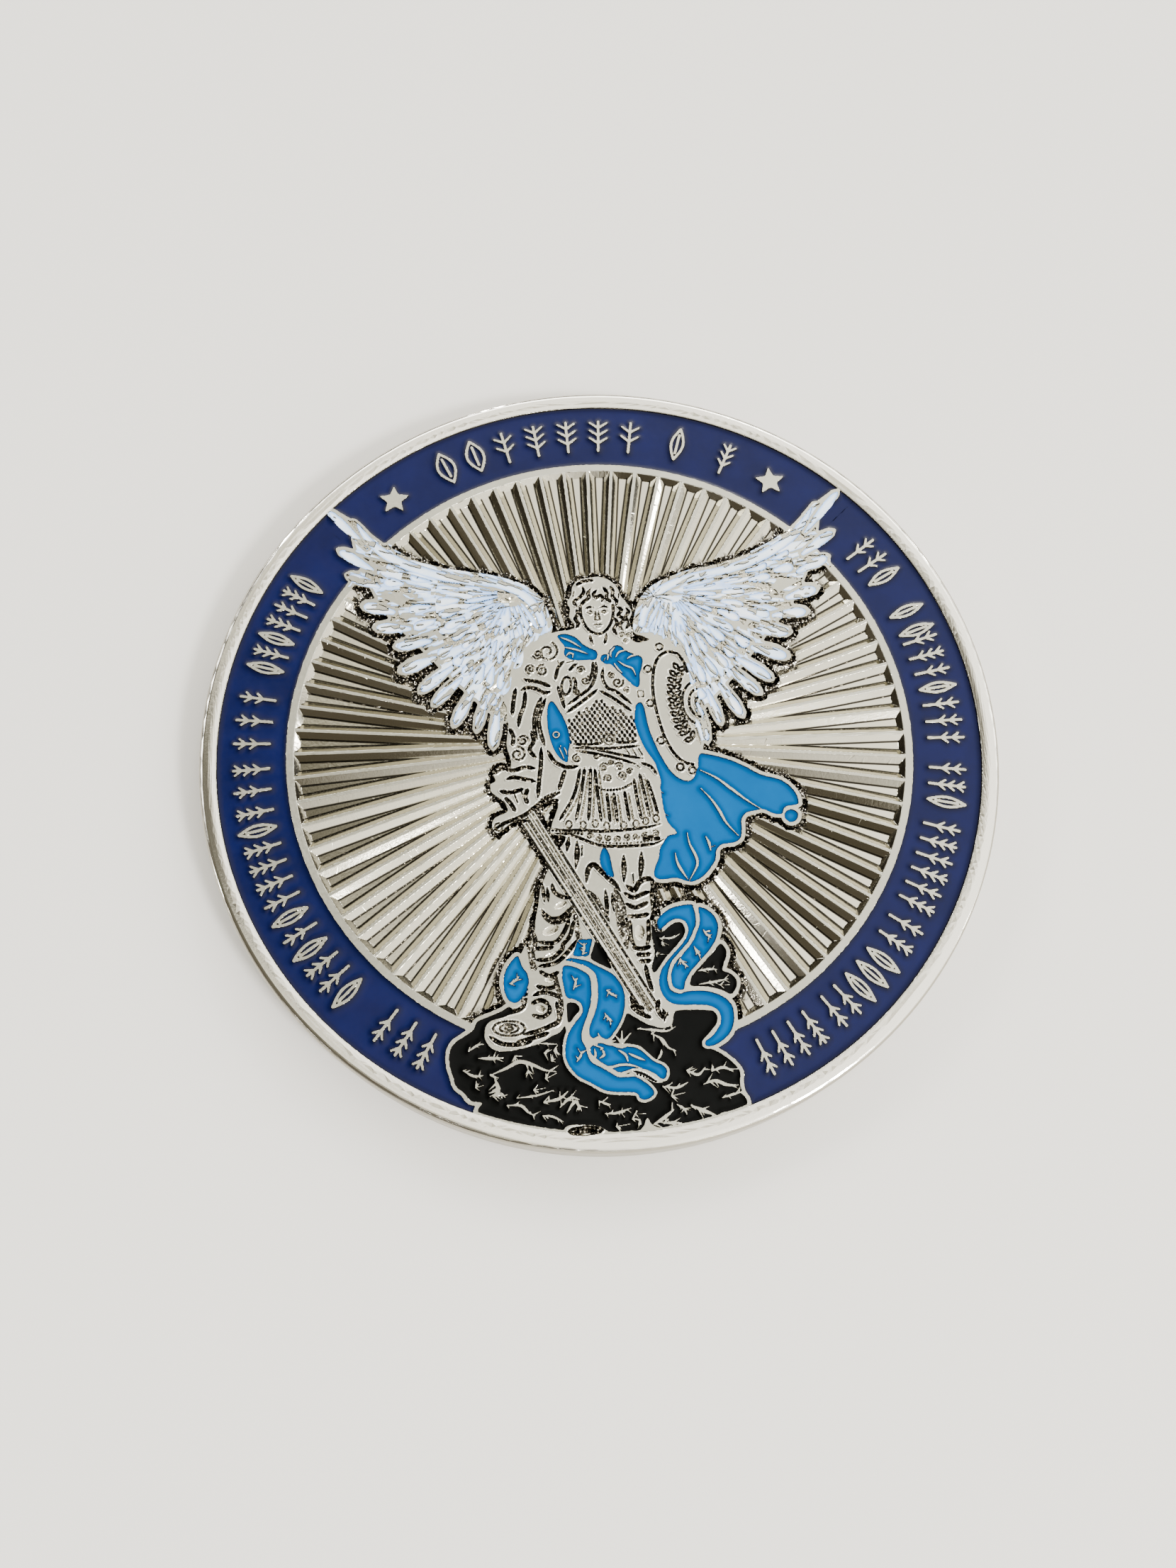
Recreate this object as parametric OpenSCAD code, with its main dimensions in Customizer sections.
// Challenge coin: a struck and plated metal coin whose recesses hold coloured soft enamel.
// The coin lies flat with its picture side up. Its origin is at the middle of its underside,
// +Z is out of the picture side and +Y points to the top of the picture.

/* [Coin] */
// Diameter over the edge
coin_d = 44.45; // [44:0.05:45]
// Thickness over both rims
coin_t = 3; // [2.6:0.1:3.6]
// Radius of the rounding on the rim's outer corners
edge_round = 0.3; // [0.1:0.05:0.4]
// Radius where the rim ends and the enamelled band starts
rim_inner_r = 21.25; // [21:0.05:21.4]
// Outer radius of the thin raised ring between the band and the field
ring_outer_r = 17.42; // [17.3:0.02:17.6]
// Width of that thin raised ring
ring_w = 0.4; // [0.2:0.05:0.6]

/* [Levels] */
// How far the raised picture lies below the rim
relief_drop = 0.1; // [0:0.02:0.2]
// Depth of the recesses below the raised picture
recess_depth = 0.4; // [0.3:0.02:0.5]
// How far the enamel lies below the raised picture
enamel_drop = 0.08; // [0.04:0.01:0.15]

/* [Sunray field] */
// Number of rays round the coin
ray_count = 76; // [60:1:90]
// Width of the raised rib between two rays
rib_w = 0.15; // [0.1:0.01:0.25]
// How far the ribs lie below the raised picture
rib_drop = 0.02; // [0.01:0.01:0.05]
// Clear gap between the ends of the ribs and the figure
rib_gap = 0.3; // [0.2:0.05:0.5]

/* [Picture] */
// Width of the metal line round each pool of enamel
line_w = 0.14; // [0.1:0.01:0.2]
// Circumscribed radius of the two stars in the band
star_r = 0.92; // [0.7:0.02:1.1]

/* [Hidden] */

edge_r = coin_d / 2;
relief_z = coin_t - relief_drop;
floor_z = relief_z - recess_depth;
enamel_z = relief_z - enamel_drop;
ring_inner_r = ring_outer_r - ring_w;
band_mid_r = (rim_inner_r + ring_outer_r) / 2;
// Angle of the first rib
first_rib = -1;
rib_inner_r = 2.5;
// How far the raised picture runs down into the planchet, to be one piece with it
sunk = 0.2;
// Depth of the plain field on the underside
reverse_depth = 0.25;
compass_r = 7.5;
wreath_r = 12.5;
wreath_leaves = 24;
// Angles inside the wings and the rocks at which the band's three pools part
band_splits = [42, 137, 265];
// Width of the metal left outside the pools at the picture's edge
frame_w = line_w * 1.4;
// Gaps in the raised picture narrower than this are filled with metal
smallest_gap = 0.12;
curve_steps = 3;
round_fn = 96;

navy = [0.07, 0.11, 0.38];
cyan = [0.0, 0.5, 0.8];
black = [0.05, 0.05, 0.05];
white = [0.88, 0.93, 1.0];
metal = [0.78, 0.75, 0.7];

// ---- Outlines: each is a few points, joined by a smooth closed curve ----

function smooth(p, steps = curve_steps) = [
    for (i = [0 : len(p) - 1])
        let (n = len(p), a = p[(i + n - 1) % n], b = p[i], c = p[(i + 1) % n], d = p[(i + 2) % n])
        for (k = [0 : steps - 1])
            let (t = k / steps)
            0.5 * (2 * b + (c - a) * t + (2 * a - 5 * b + 4 * c - d) * t * t
                + (3 * b - a - 3 * c + d) * t * t * t)
];

function polar(r, angle) = [r * cos(angle), r * sin(angle)];

neckcloth_left = [
    [-2.05, 6.6], [-1.5, 6.66], [-1.0, 6.42], [-0.62, 6.0], [-0.3, 5.75], [0.08, 5.55], [0.18, 5.25],
    [0.02, 5.0], [-0.5, 5.0], [-1.1, 5.02], [-1.45, 5.12], [-1.72, 5.4], [-1.66, 5.85], [-1.86, 6.2]
];
neckcloth_right = [
    [0.32, 4.98], [0.42, 5.28], [0.75, 5.32], [0.92, 5.62], [1.2, 5.82], [1.52, 5.76], [1.75, 5.5],
    [2.2, 5.25], [2.68, 5.0], [2.66, 4.5], [2.5, 4.0], [2.44, 3.4], [2.28, 3.18], [1.9, 3.5],
    [1.5, 3.95], [1.12, 4.4], [0.88, 4.68], [0.6, 4.7]
];
sleeve_lining = [
    [-2.65, 2.6], [-2.84, 2.2], [-2.88, 1.5], [-2.84, 0.8], [-2.7, 0.1], [-2.46, -0.5],
    [-2.1, -0.95], [-1.86, -1.0], [-1.8, -0.5], [-1.68, 0.1], [-1.7, 0.6], [-1.8, 1.15],
    [-2.0, 1.7], [-2.25, 2.2], [-2.45, 2.55]
];
cape = [
    [2.42, 2.3], [2.15, 2.15], [2.03, 1.6], [2.02, 1.0], [2.15, 0.4], [2.35, -0.2], [2.62, -0.75],
    [2.92, -1.25], [3.08, -1.8], [3.2, -2.4], [3.14, -2.9], [3.2, -3.7], [3.28, -4.3],
    [3.44, -4.85], [3.86, -5.42], [3.4, -5.52], [3.1, -5.9], [2.84, -6.3], [2.76, -6.8],
    [2.48, -7.4], [2.5, -7.85], [2.95, -8.0], [3.6, -7.94], [4.4, -8.2], [5.0, -8.0],
    [5.5, -7.55], [5.86, -7.0], [5.95, -6.5], [6.3, -6.2], [6.9, -6.15], [7.32, -5.9],
    [7.44, -5.4], [7.46, -4.9], [7.7, -4.52], [8.2, -4.4], [8.75, -4.35], [9.25, -4.62],
    [9.72, -4.66], [9.86, -4.32], [10.3, -4.2], [10.7, -4.12], [10.62, -3.6], [10.3, -3.08],
    [9.8, -2.68], [9.2, -2.48], [8.7, -2.3], [8.0, -1.85], [7.2, -1.42], [6.4, -1.12],
    [5.66, -0.92], [5.4, -1.1], [5.34, -1.6], [5.16, -2.1], [4.94, -2.4], [4.6, -2.46],
    [4.2, -2.28], [3.8, -1.85], [3.42, -1.15], [3.08, -0.3], [2.86, 0.4], [2.7, 1.2], [2.58, 2.0]
];
cape_curl = [
    [9.95, -4.52], [10.2, -4.42], [10.48, -4.52], [10.6, -4.75], [10.46, -5.06], [10.12, -5.16],
    [9.9, -4.98], [9.84, -4.74]
];
skirt_lining = [
    [-0.22, -6.04], [0.0, -6.16], [0.14, -6.6], [0.2, -7.15], [0.28, -7.66], [0.06, -7.66],
    [-0.26, -7.3], [-0.44, -6.85], [-0.4, -6.4]
];
serpent_coil = [
    [-5.15, -11.72], [-5.5, -12.0], [-5.8, -12.45], [-5.95, -13.0], [-5.9, -13.6], [-5.72, -14.05],
    [-5.4, -14.22], [-5.08, -14.08], [-4.8, -13.7], [-4.6, -13.2], [-4.66, -12.7], [-4.92, -12.3],
    [-5.02, -11.95]
];
serpent_neck = [
    [-1.86, -11.06], [-1.45, -11.02], [-1.12, -11.06], [-1.24, -11.5], [-1.36, -11.92],
    [-1.8, -11.95], [-2.2, -11.85], [-2.04, -11.45]
];
serpent_back = [
    [-2.6, -12.1], [-2.3, -12.0], [-1.6, -12.14], [-1.1, -12.4], [-0.6, -12.68], [-0.1, -13.02],
    [0.24, -13.5], [0.42, -14.05], [0.4, -14.6], [0.26, -15.2], [0.0, -15.7], [-0.3, -16.1],
    [-0.58, -16.38], [-0.9, -16.36], [-1.14, -16.22], [-1.4, -16.3], [-1.58, -16.0],
    [-1.5, -15.6], [-1.26, -15.1], [-1.06, -14.5], [-0.98, -13.9], [-0.98, -13.3],
    [-1.1, -12.85], [-1.5, -12.5], [-2.1, -12.26]
];
serpent_belly = [
    [-2.72, -12.4], [-2.84, -13.0], [-2.76, -13.6], [-2.64, -14.08], [-2.26, -14.22],
    [-1.92, -14.44], [-1.84, -14.85], [-2.06, -15.2], [-2.42, -15.6], [-2.72, -16.1],
    [-2.86, -16.7], [-2.86, -17.3], [-2.62, -17.82], [-2.2, -18.28], [-1.7, -18.56],
    [-1.35, -18.78], [-0.95, -19.02], [-0.4, -19.14], [0.3, -19.2], [0.74, -19.28],
    [0.84, -19.52], [1.1, -19.62], [1.4, -19.54], [1.62, -19.3], [1.46, -18.98],
    [1.1, -18.66], [0.7, -18.42], [0.3, -18.4], [-0.2, -18.38], [-0.66, -18.08],
    [-1.1, -17.8], [-1.56, -17.5], [-1.72, -17.1], [-1.82, -16.7], [-1.98, -16.3],
    [-1.9, -15.8], [-1.66, -15.2], [-1.44, -14.6], [-1.32, -14.0], [-1.32, -13.4],
    [-1.4, -12.98], [-1.76, -12.7], [-2.2, -12.46]
];
serpent_head = [
    [-1.5, -16.72], [-1.0, -16.56], [-0.6, -16.72], [-0.1, -16.78], [0.5, -16.84], [1.0, -17.0],
    [1.42, -17.4], [1.75, -17.7], [2.16, -17.9], [2.36, -18.2], [2.24, -18.58], [1.96, -18.56],
    [1.7, -18.3], [1.2, -18.06], [0.7, -17.98], [0.3, -18.06], [-0.1, -18.16], [-0.5, -17.92],
    [-0.96, -17.62], [-1.36, -17.3], [-1.56, -17.0]
];
tail_edge = [
    [2.48, -10.12], [2.92, -9.74], [3.4, -9.52], [4.0, -9.44], [4.42, -9.5], [4.5, -10.0],
    [4.5, -10.5], [4.3, -10.95], [4.02, -11.45], [3.5, -12.0], [3.0, -12.56], [2.78, -13.2],
    [2.76, -13.66], [2.94, -14.06], [3.36, -14.2], [3.8, -14.12], [4.4, -14.12], [5.0, -14.22],
    [5.6, -14.5], [6.0, -14.92], [6.1, -15.4], [6.02, -16.0], [5.76, -16.5], [5.3, -16.86],
    [4.8, -17.06], [4.5, -17.02], [4.48, -16.8], [4.8, -16.58], [5.14, -16.24], [5.36, -15.86],
    [5.38, -15.44], [5.16, -15.1], [4.7, -14.92], [4.0, -14.86], [3.2, -14.8], [2.7, -14.6],
    [2.4, -14.16], [2.28, -13.6], [2.4, -13.02], [2.74, -12.52], [3.2, -12.02], [3.72, -11.5],
    [4.02, -11.02], [4.04, -10.62], [3.82, -10.28], [3.4, -10.2], [3.0, -10.38], [2.66, -10.68],
    [2.46, -10.6]
];
tail_belly = [
    [4.72, -9.6], [5.2, -9.82], [5.54, -10.22], [5.68, -10.7], [5.58, -11.2], [5.3, -11.72],
    [4.9, -12.2], [4.4, -12.68], [3.96, -13.14], [3.7, -13.56], [3.56, -14.0], [3.26, -13.98],
    [3.0, -13.8], [2.94, -13.3], [3.14, -12.68], [3.64, -12.14], [4.18, -11.56], [4.46, -11.04],
    [4.68, -10.56], [4.7, -10.0]
];
rock_outline = [
    [-8.0, -15.75], [-7.62, -15.5], [-7.4, -15.1], [-6.8, -14.86], [-6.1, -14.62], [-5.72, -14.4],
    [-5.5, -14.65], [-6.0, -14.95], [-6.7, -15.1], [-7.0, -15.5], [-7.0, -16.1], [-6.6, -16.6],
    [-5.9, -16.72], [-5.0, -16.6], [-4.2, -16.4], [-3.6, -16.1], [-3.1, -15.9], [-2.8, -15.6],
    [-2.7, -16.4], [-1.8, -17.6], [-0.6, -17.4], [-0.5, -16.6], [-0.2, -15.8], [0.4, -15.1],
    [0.9, -15.35], [1.5, -15.72], [2.3, -15.98], [2.8, -15.8], [2.96, -15.2], [3.4, -15.1],
    [4.6, -15.16], [5.1, -15.3], [5.2, -15.8], [4.7, -16.4], [4.3, -16.8], [4.4, -17.15],
    [4.86, -17.25], [5.4, -17.6], [5.84, -18.0], [6.16, -18.5], [6.1, -18.95], [6.16, -19.5],
    [6.4, -20.1], [5.8, -20.42], [5.0, -20.5], [4.7, -20.85], [3.8, -20.95], [3.2, -21.1],
    [2.0, -21.15], [1.4, -20.9], [1.16, -20.55], [0.9, -21.0], [0.4, -21.3], [-0.6, -21.25],
    [-1.1, -20.95], [-1.6, -20.75], [-2.9, -20.68], [-3.3, -20.95], [-4.2, -20.9], [-4.6, -20.75],
    [-5.2, -20.72], [-6.2, -20.45], [-6.7, -20.1], [-7.3, -19.95], [-7.56, -19.65],
    [-7.3, -19.3], [-7.9, -19.15], [-8.2, -18.75], [-8.6, -18.4], [-8.75, -17.9],
    [-8.92, -17.3], [-8.9, -16.6], [-8.6, -16.12]
];
rock_left_chip = [
    [-2.64, -14.42], [-2.34, -14.36], [-2.06, -14.52], [-2.02, -14.84], [-2.3, -15.12],
    [-2.62, -15.42], [-2.68, -14.9]
];
rock_middle = [
    [-0.95, -11.16], [-0.72, -11.45], [-0.5, -11.9], [-0.16, -12.68], [-0.62, -12.5],
    [-1.26, -12.08], [-1.12, -11.6]
];
rock_inside_tail = [
    [2.14, -10.4], [2.34, -10.84], [2.66, -10.86], [3.06, -10.56], [3.42, -10.38],
    [3.74, -10.44], [3.88, -10.72], [3.84, -11.04], [3.56, -11.44], [3.06, -11.94],
    [2.58, -12.44], [2.22, -12.92], [2.02, -13.0], [1.96, -12.7], [2.12, -12.2],
    [2.18, -11.7], [2.1, -11.2], [2.08, -10.7]
];
rock_right = [
    [5.72, -11.66], [5.94, -11.94], [6.0, -12.24], [5.84, -12.66], [5.7, -13.1], [6.06, -13.28],
    [6.4, -13.66], [6.32, -14.1], [6.04, -14.42], [5.62, -14.18], [4.9, -13.96], [4.2, -13.88],
    [3.92, -13.78], [4.04, -13.34], [4.44, -12.92], [4.94, -12.44], [5.36, -12.02]
];

// The flat raised silhouettes of the figure, its weapon and its shield
body_outline = [
    [-1.0, 9.6], [-0.6, 10.0], [-0.05, 10.08], [0.5, 10.12], [1.1, 9.9], [1.55, 9.4], [1.75, 8.8],
    [2.1, 8.3], [2.3, 7.8], [2.1, 7.3], [2.2, 6.8], [2.1, 6.2], [2.6, 5.9], [3.6, 6.1],
    [4.6, 5.6], [5.3, 4.6], [5.8, 3.0], [6.0, 1.0], [5.75, -0.4], [5.3, -1.1], [5.3, -2.1],
    [4.7, -2.6], [4.0, -2.3], [3.4, -1.5], [3.1, -1.2], [3.3, -2.6], [3.3, -3.8], [3.6, -4.9],
    [4.0, -5.6], [3.3, -5.9], [2.9, -6.8], [2.5, -7.7], [2.2, -8.1], [2.3, -8.8], [2.2, -9.6],
    [2.0, -10.3], [2.1, -11.4], [2.05, -12.4], [2.2, -13.2], [2.4, -14.4], [2.9, -14.9],
    [2.8, -15.7], [2.2, -15.9], [1.2, -15.5], [0.6, -15.0], [0.5, -14.2], [0.2, -13.2],
    [-0.2, -12.7], [-0.6, -11.5], [-1.0, -11.0], [-1.9, -10.9], [-2.5, -12.0], [-2.75, -12.6],
    [-2.7, -14.4], [-2.75, -15.6], [-4.2, -16.3], [-6.0, -16.65], [-6.9, -16.2], [-6.95, -15.5],
    [-6.3, -15.0], [-5.6, -14.6], [-4.9, -14.1], [-4.5, -13.3], [-4.6, -12.5], [-5.0, -11.9],
    [-4.7, -11.2], [-4.2, -10.6], [-4.1, -9.9], [-3.9, -9.1], [-3.75, -8.2], [-3.5, -7.6],
    [-3.2, -7.0], [-2.6, -6.0], [-2.2, -5.3], [-3.0, -5.1], [-2.9, -4.5], [-2.5, -3.4],
    [-3.0, -3.2], [-3.9, -3.6], [-5.2, -4.4], [-5.9, -4.9], [-6.2, -4.5], [-6.0, -4.0],
    [-5.3, -3.7], [-5.5, -3.1], [-6.1, -2.6], [-6.2, -2.1], [-5.9, -1.9], [-6.0, -1.4],
    [-5.5, -1.1], [-5.1, -1.3], [-5.0, -0.7], [-5.2, 0.1], [-5.1, 1.0], [-5.0, 2.4],
    [-5.0, 3.6], [-4.9, 4.6], [-4.5, 5.4], [-3.8, 6.2], [-2.9, 6.6], [-2.2, 6.8], [-1.3, 6.9],
    [-1.0, 7.1], [-1.3, 7.7], [-1.2, 8.2], [-1.35, 8.6], [-1.1, 9.1]
];
blade_tip = [1.9, -15.3];
blade_root = [-4.3, -3.9];
blade_w = 0.95;
// Length of the blade's tapered point
blade_point = 1.6;

shield_outline = [
    [2.6, 3.0], [2.62, 4.3], [2.9, 5.3], [3.4, 5.95], [4.0, 6.05], [4.6, 5.6], [5.1, 4.7],
    [5.3, 3.6], [5.35, 2.4], [5.6, 1.2], [5.75, 0.2], [5.7, -0.6], [5.45, -1.4], [5.1, -2.2],
    [4.7, -2.5], [4.2, -2.3], [3.7, -1.7], [3.2, -0.7], [2.85, 0.5], [2.65, 1.8]
];

// ---- Wings: feathers fan out from the wrist ----

wrist = [4.6, 9.3];
// For each feather: where its blade comes out from under the others, its tip and its width
feathers = [
    [[12.7, 12.6], [15.15, 15.4], 0.8], [[12.4, 11.2], [14.6, 12.75], 0.9],
    [[12.0, 10.1], [14.15, 11.1], 0.95], [[11.2, 8.5], [13.3, 9.1], 1.0],
    [[10.3, 7.45], [12.6, 7.65], 0.95], [[9.2, 6.65], [11.45, 6.35], 0.95],
    [[8.9, 5.6], [11.2, 4.8], 1.0], [[8.0, 5.0], [10.1, 3.45], 0.9],
    [[7.5, 4.3], [9.35, 2.6], 0.85], [[6.9, 3.5], [8.2, 1.25], 0.85],
    [[6.2, 3.2], [6.9, 0.85], 0.75], [[5.6, 2.4], [6.0, -0.2], 0.85]
];
wing_shoulder = [
    [2.3, 6.9], [2.45, 8.0], [2.85, 9.0], [3.5, 9.65], [4.3, 10.1], [5.2, 10.42], [6.2, 10.7],
    [7.2, 10.88], [8.2, 11.12], [9.2, 11.46], [10.2, 11.92], [11.2, 12.5], [12.3, 13.4],
    [13.0, 14.2], [13.45, 14.62], [13.85, 14.4], [13.6, 13.0], [13.2, 11.6], [12.6, 10.0],
    [11.6, 8.2], [10.2, 6.6], [9.0, 5.2], [7.6, 3.6], [6.2, 2.2], [5.2, 1.4], [4.8, 2.6],
    [4.6, 4.0], [4.1, 5.2], [3.4, 6.2], [2.8, 6.6]
];
wing_edge_cell = [
    [2.62, 7.3], [2.86, 8.3], [3.3, 9.06], [4.0, 9.66], [5.0, 10.12], [6.2, 10.44], [7.6, 10.68],
    [9.0, 11.1], [10.4, 11.72], [11.6, 12.46], [12.5, 13.3], [13.34, 14.3], [12.9, 13.2],
    [12.0, 12.1], [10.8, 11.3], [9.4, 10.66], [8.0, 10.24], [6.6, 10.04], [5.4, 9.76],
    [4.4, 9.3], [3.7, 8.7], [3.2, 7.9], [2.98, 7.2]
];
// The wing at the shield's side sits a little lower than the other
right_wing_drop = 0.3;

function toward(a, b) = (b - a) / norm(b - a);

// A drop from a to b: narrow at a, widest near b, with a round end
drop_steps = 4;
function drop_half(t) =
    (0.35 + 0.65 * min(1, t / 0.6)) * (t < 0.7 ? 1 : sqrt(1 - pow((t - 0.7) / 0.3, 2)));
function drop_side(a, b, w, s) =
    let (u = toward(a, b), v = s * w / 2 * [-u[1], u[0]])
    [
        for (k = [0 : drop_steps])
            let (t = k / (drop_steps + 0.4))
            a + (b - a) * t + v * drop_half(t)
    ];
function drop(a, b, w) =
    let (left = drop_side(a, b, w, 1))
    concat(drop_side(a, b, w, -1), [b], [for (k = [drop_steps : -1 : 0]) left[k]]);

// Rows of cells under the blades, as distances from the wrist
covert_rows = [[0.75, 2.7], [2.95, 4.3]];
feather_rows = [[4.55, 5.9], [6.15, 7.4], [7.65, 8.8]];
shortest_cell = 0.7;
cell_end_gap = 0.28;
cell_side_gap = 0.3;
short_coverts = [
    [[4.0, 8.7], [3.05, 7.0]], [[4.2, 8.6], [3.48, 6.6]], [[4.45, 8.55], [3.98, 6.3]],
    [[4.72, 8.5], [4.5, 5.0]]
];

function heading(v) = atan2(v[1], v[0]);
function feather_heading(i) = heading(feathers[i][0] - wrist);
function row_width(i, r) =
    let (j = max(1, min(i, len(feathers) - 1)))
    min(0.62, max(0.24, 0.75 * r * sin(feather_heading(j - 1) - feather_heading(j))));
function row_cell(i, r0, r1, turn) =
    let (a = feather_heading(i) + turn)
    drop(wrist + polar(r0, a), wrist + polar(r1, a), row_width(i, (r0 + r1) / 2));

module row_cells(rows) {
    for (i = [1 : len(feathers) - 1], n = [0 : len(rows) - 1]) {
        reach = min(rows[n][1], norm(feathers[i][0] - wrist) - 0.1);
        if (reach > rows[n][0] + shortest_cell)
            polygon(row_cell(i, rows[n][0], reach, n % 2 == 0 ? 0 : 3));
    }
}

module wing_edge_2d() polygon(smooth(wing_edge_cell));

module wing_coverts_2d() {
    difference() {
        union() {
            row_cells(covert_rows);
            for (c = short_coverts)
                polygon(drop(c[0], c[1], 0.3));
        }
        framed(line_w) wing_edge_2d();
    }
}

module wing_feathers_2d() {
    difference() {
        union() {
            row_cells(feather_rows);
            for (f = feathers)
                polygon(drop(f[0], f[1] - toward(f[0], f[1]) * cell_end_gap, f[2] - cell_side_gap));
        }
        framed(line_w) wing_edge_2d();
        framed(line_w) wing_coverts_2d();
    }
}

module wing_outline_2d() {
    polygon(smooth(wing_shoulder));
    for (f = feathers)
        polygon(drop(f[0] + (wrist - f[0]) * 0.15, f[1], f[2]));
}

module on_left() mirror([1, 0]) children();
module on_right() {
    difference() {
        translate([0, -right_wing_drop]) children();
        polygon(smooth(shield_outline));
    }
}

// ---- Band ----

star_angles = [55.1, 125.3];
function star(r, tips, waist) = [
    for (k = [0 : 2 * tips - 1]) polar(k % 2 == 0 ? r : r * waist, 90 + 180 * k / tips)
];
module stars_2d() {
    for (a = star_angles)
        translate(polar(band_mid_r - 0.1, a)) polygon(star(star_r, 5, 0.45));
}

// A wedge of the disc from one angle to another
function wedge(a, b) = concat([[0, 0]], [for (k = [0 : 4]) polar(coin_d, a + (b - a) * k / 4)]);

// ---- The raised picture ----

module blade_2d() {
    u = toward(blade_root, blade_tip);
    v = [-u[1], u[0]] * blade_w / 2;
    shoulder = blade_tip - u * blade_point;
    polygon([blade_root + v, blade_root - v, shoulder - v * 0.8, blade_tip, shoulder + v * 0.8]);
}

module framed(w) offset(r = w, $fn = 16) children();
module joined() offset(delta = 0) children();
// Fills every gap narrower than twice w
module closed_gaps(w) offset(delta = -w) offset(delta = w) children();

function plain_pools() = [
    neckcloth_left, neckcloth_right, sleeve_lining, cape, cape_curl, skirt_lining, serpent_coil,
    serpent_neck, serpent_back, serpent_belly, serpent_head, tail_edge, tail_belly, rock_left_chip,
    rock_middle, rock_inside_tail, rock_right
];

// The ridge where three of the serpent's pools meet
serpent_ridge_end = [[-2.0, -15.9], [-1.35, -15.9], [-1.35, -16.75], [-1.85, -16.75]];

module figure_2d() {
    polygon(smooth(body_outline));
    polygon(smooth(shield_outline));
    blade_2d();
    polygon(serpent_ridge_end);
}

// Where the rocks meet the rim, the metal fills the band
rock_span = [248.5, 287.3];
module rock_foot_2d() {
    intersection() {
        difference() {
            circle(rim_inner_r + 0.1, $fn = round_fn);
            circle(rim_inner_r - 0.4, $fn = round_fn);
        }
        polygon(wedge(rock_span[0], rock_span[1]));
    }
}

module plate_2d() {
    closed_gaps(smallest_gap / 2) {
        figure_2d();
        on_left() wing_outline_2d();
        translate([0, -right_wing_drop]) wing_outline_2d();
        framed(frame_w) for (p = plain_pools()) polygon(smooth(p));
        framed(frame_w) polygon(smooth(rock_outline));
        rock_foot_2d();
    }
}

module ribs_2d() {
    difference() {
        for (k = [0 : ray_count - 1])
            rotate(first_rib + 360 * k / ray_count)
                translate([rib_inner_r, -rib_w / 2])
                    square([ring_inner_r + 0.1 - rib_inner_r, rib_w]);
        framed(rib_gap) plate_2d();
    }
}

module rock_base_2d() {
    intersection() {
        circle(rim_inner_r - 0.1, $fn = round_fn);
        difference() {
            polygon(smooth(rock_outline));
            framed(line_w)
                for (p = [serpent_belly, serpent_head, serpent_back])
                    polygon(smooth(p));
            framed(line_w / 3) blade_2d();
        }
    }
}

module band_2d(a, b) {
    intersection() {
        difference() {
            circle(rim_inner_r, $fn = round_fn);
            circle(ring_outer_r, $fn = round_fn);
            joined() plate_2d();
            stars_2d();
        }
        polygon(wedge(a, b));
    }
}

module slab(z0, z1) translate([0, 0, z0]) linear_extrude(z1 - z0) children();
module pool_cut() slab(floor_z, coin_t + 1) children();
module enamel(z0 = floor_z, z1 = enamel_z) slab(z0, z1) children();

// The planchet: rims, bands, rings and fields of both sides, as one turned profile
module planchet() {
    e = edge_round;
    reverse_floor = coin_t - floor_z;
    rotate_extrude($fn = round_fn) difference() {
        square([edge_r, coin_t]);
        translate([ring_outer_r, floor_z]) square([rim_inner_r - ring_outer_r, coin_t]);
        translate([-1, floor_z]) square([ring_inner_r + 1, coin_t]);
        translate([-1, relief_z]) square([rim_inner_r + 1, coin_t]);
        translate([ring_outer_r, -1]) square([rim_inner_r - ring_outer_r, 1 + reverse_floor]);
        translate([-1, -1]) square([ring_inner_r + 1, 1 + relief_drop + reverse_depth]);
        translate([-1, -1]) square([rim_inner_r + 1, 1 + relief_drop]);
        translate([edge_r - e, coin_t - e]) difference() {
            square(e + 1);
            circle(e, $fn = 48);
        }
        translate([edge_r - e, -1]) difference() {
            square([e + 1, e + 1]);
            translate([0, 1 + e]) circle(e, $fn = 48);
        }
    }
}

// The underside's plain picture: a compass star in a wreath of leaves
leaf = [[-1.1, 0], [-0.3, 0.42], [0.5, 0.3], [1.2, 0], [0.5, -0.3], [-0.3, -0.42]];
module reverse_2d() {
    polygon(star(compass_r, 8, 0.42));
    for (k = [0 : wreath_leaves - 1])
        rotate(360 * k / wreath_leaves)
            translate([wreath_r, 0])
                rotate(65) polygon(leaf);
}

module coin_body() {
    color(metal) difference() {
        union() {
            planchet();
            slab(floor_z - sunk, relief_z) joined() plate_2d();
            slab(floor_z - sunk, relief_z - rib_drop) joined() ribs_2d();
            slab(floor_z - sunk, relief_z) stars_2d();
            slab(relief_drop, relief_drop + reverse_depth + sunk) reverse_2d();
        }
        pool_cut() {
            for (p = plain_pools()) polygon(smooth(p));
            rock_base_2d();
            wing_pools_2d();
        }
    }
}

module one_wing_pools_2d() {
    wing_edge_2d();
    wing_coverts_2d();
    wing_feathers_2d();
}

module wing_pools_2d() {
    joined() on_left() one_wing_pools_2d();
    joined() on_right() one_wing_pools_2d();
}

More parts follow.
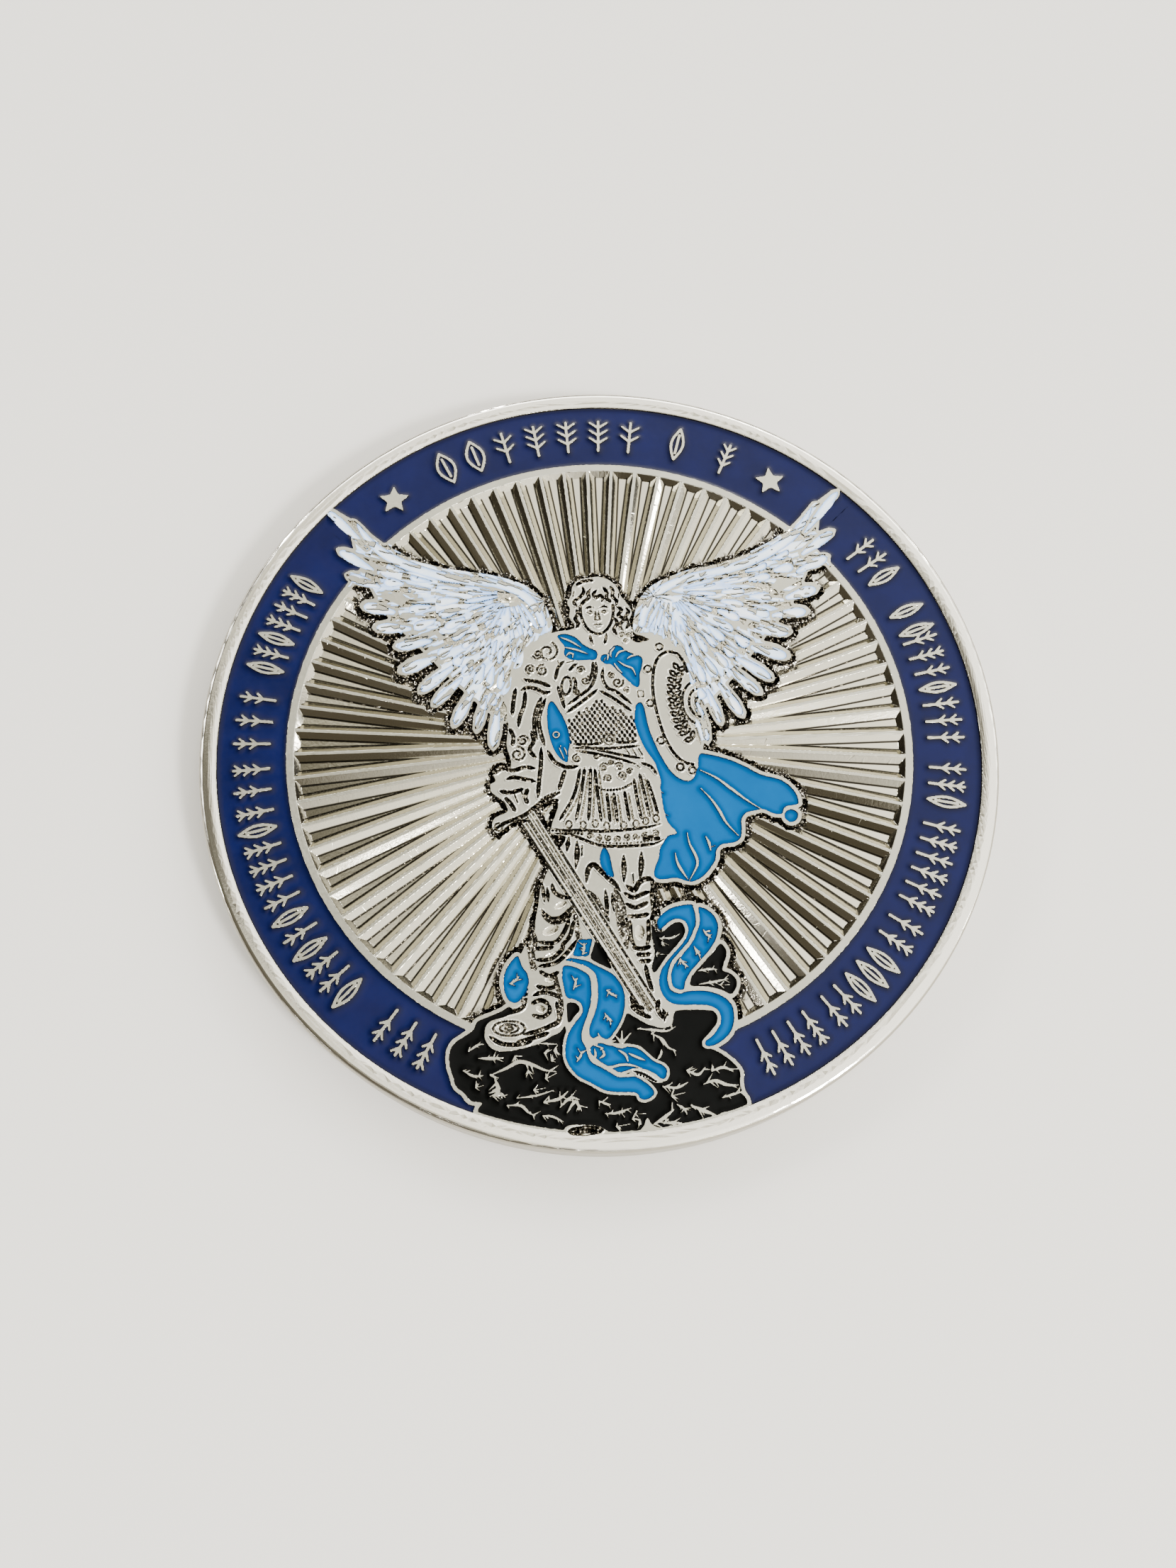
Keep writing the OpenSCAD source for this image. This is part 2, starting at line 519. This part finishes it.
module enamel_band_top() color(navy) enamel() band_2d(band_splits[0], band_splits[1]);
module enamel_band_left() color(navy) enamel() band_2d(band_splits[1], band_splits[2]);
module enamel_band_right() color(navy) enamel() band_2d(band_splits[2] - 360, band_splits[0]);
module enamel_band_reverse() {
    color(navy) enamel(relief_drop + enamel_drop, coin_t - floor_z) difference() {
        circle(rim_inner_r, $fn = round_fn);
        circle(ring_outer_r, $fn = round_fn);
    }
}
module enamel_neckcloth_left() color(cyan) enamel() polygon(smooth(neckcloth_left));
module enamel_neckcloth_right() color(cyan) enamel() polygon(smooth(neckcloth_right));
module enamel_sleeve_lining() color(cyan) enamel() polygon(smooth(sleeve_lining));
module enamel_cape() color(cyan) enamel() polygon(smooth(cape));
module enamel_cape_curl() color(cyan) enamel() polygon(smooth(cape_curl));
module enamel_skirt_lining() color(cyan) enamel() polygon(smooth(skirt_lining));
module enamel_serpent_coil() color(cyan) enamel() polygon(smooth(serpent_coil));
module enamel_serpent_neck() color(cyan) enamel() polygon(smooth(serpent_neck));
module enamel_serpent_belly() color(cyan) enamel() polygon(smooth(serpent_belly));
module enamel_serpent_back() color(cyan) enamel() polygon(smooth(serpent_back));
module enamel_serpent_head() color(cyan) enamel() polygon(smooth(serpent_head));
module enamel_tail_edge() color(cyan) enamel() polygon(smooth(tail_edge));
module enamel_tail_belly() color(cyan) enamel() polygon(smooth(tail_belly));
module enamel_rock_base() color(black) enamel() rock_base_2d();
module enamel_rock_left_chip() color(black) enamel() polygon(smooth(rock_left_chip));
module enamel_rock_middle() color(black) enamel() polygon(smooth(rock_middle));
module enamel_rock_inside_tail() color(black) enamel() polygon(smooth(rock_inside_tail));
module enamel_rock_right() color(black) enamel() polygon(smooth(rock_right));
module enamel_left_wing_edge() color(white) enamel() joined() on_left() wing_edge_2d();
module enamel_left_wing_coverts() color(white) enamel() joined() on_left() wing_coverts_2d();
module enamel_left_wing_feathers() color(white) enamel() joined() on_left() wing_feathers_2d();
module enamel_right_wing_edge() color(white) enamel() joined() on_right() wing_edge_2d();
module enamel_right_wing_coverts() color(white) enamel() joined() on_right() wing_coverts_2d();
module enamel_right_wing_feathers() color(white) enamel() joined() on_right() wing_feathers_2d();

coin_body();
enamel_band_top();
enamel_band_left();
enamel_band_right();
enamel_band_reverse();
enamel_neckcloth_left();
enamel_neckcloth_right();
enamel_sleeve_lining();
enamel_cape();
enamel_cape_curl();
enamel_skirt_lining();
enamel_serpent_coil();
enamel_serpent_neck();
enamel_serpent_belly();
enamel_serpent_back();
enamel_serpent_head();
enamel_tail_edge();
enamel_tail_belly();
enamel_rock_base();
enamel_rock_left_chip();
enamel_rock_middle();
enamel_rock_inside_tail();
enamel_rock_right();
enamel_left_wing_edge();
enamel_left_wing_coverts();
enamel_left_wing_feathers();
enamel_right_wing_edge();
enamel_right_wing_coverts();
enamel_right_wing_feathers();
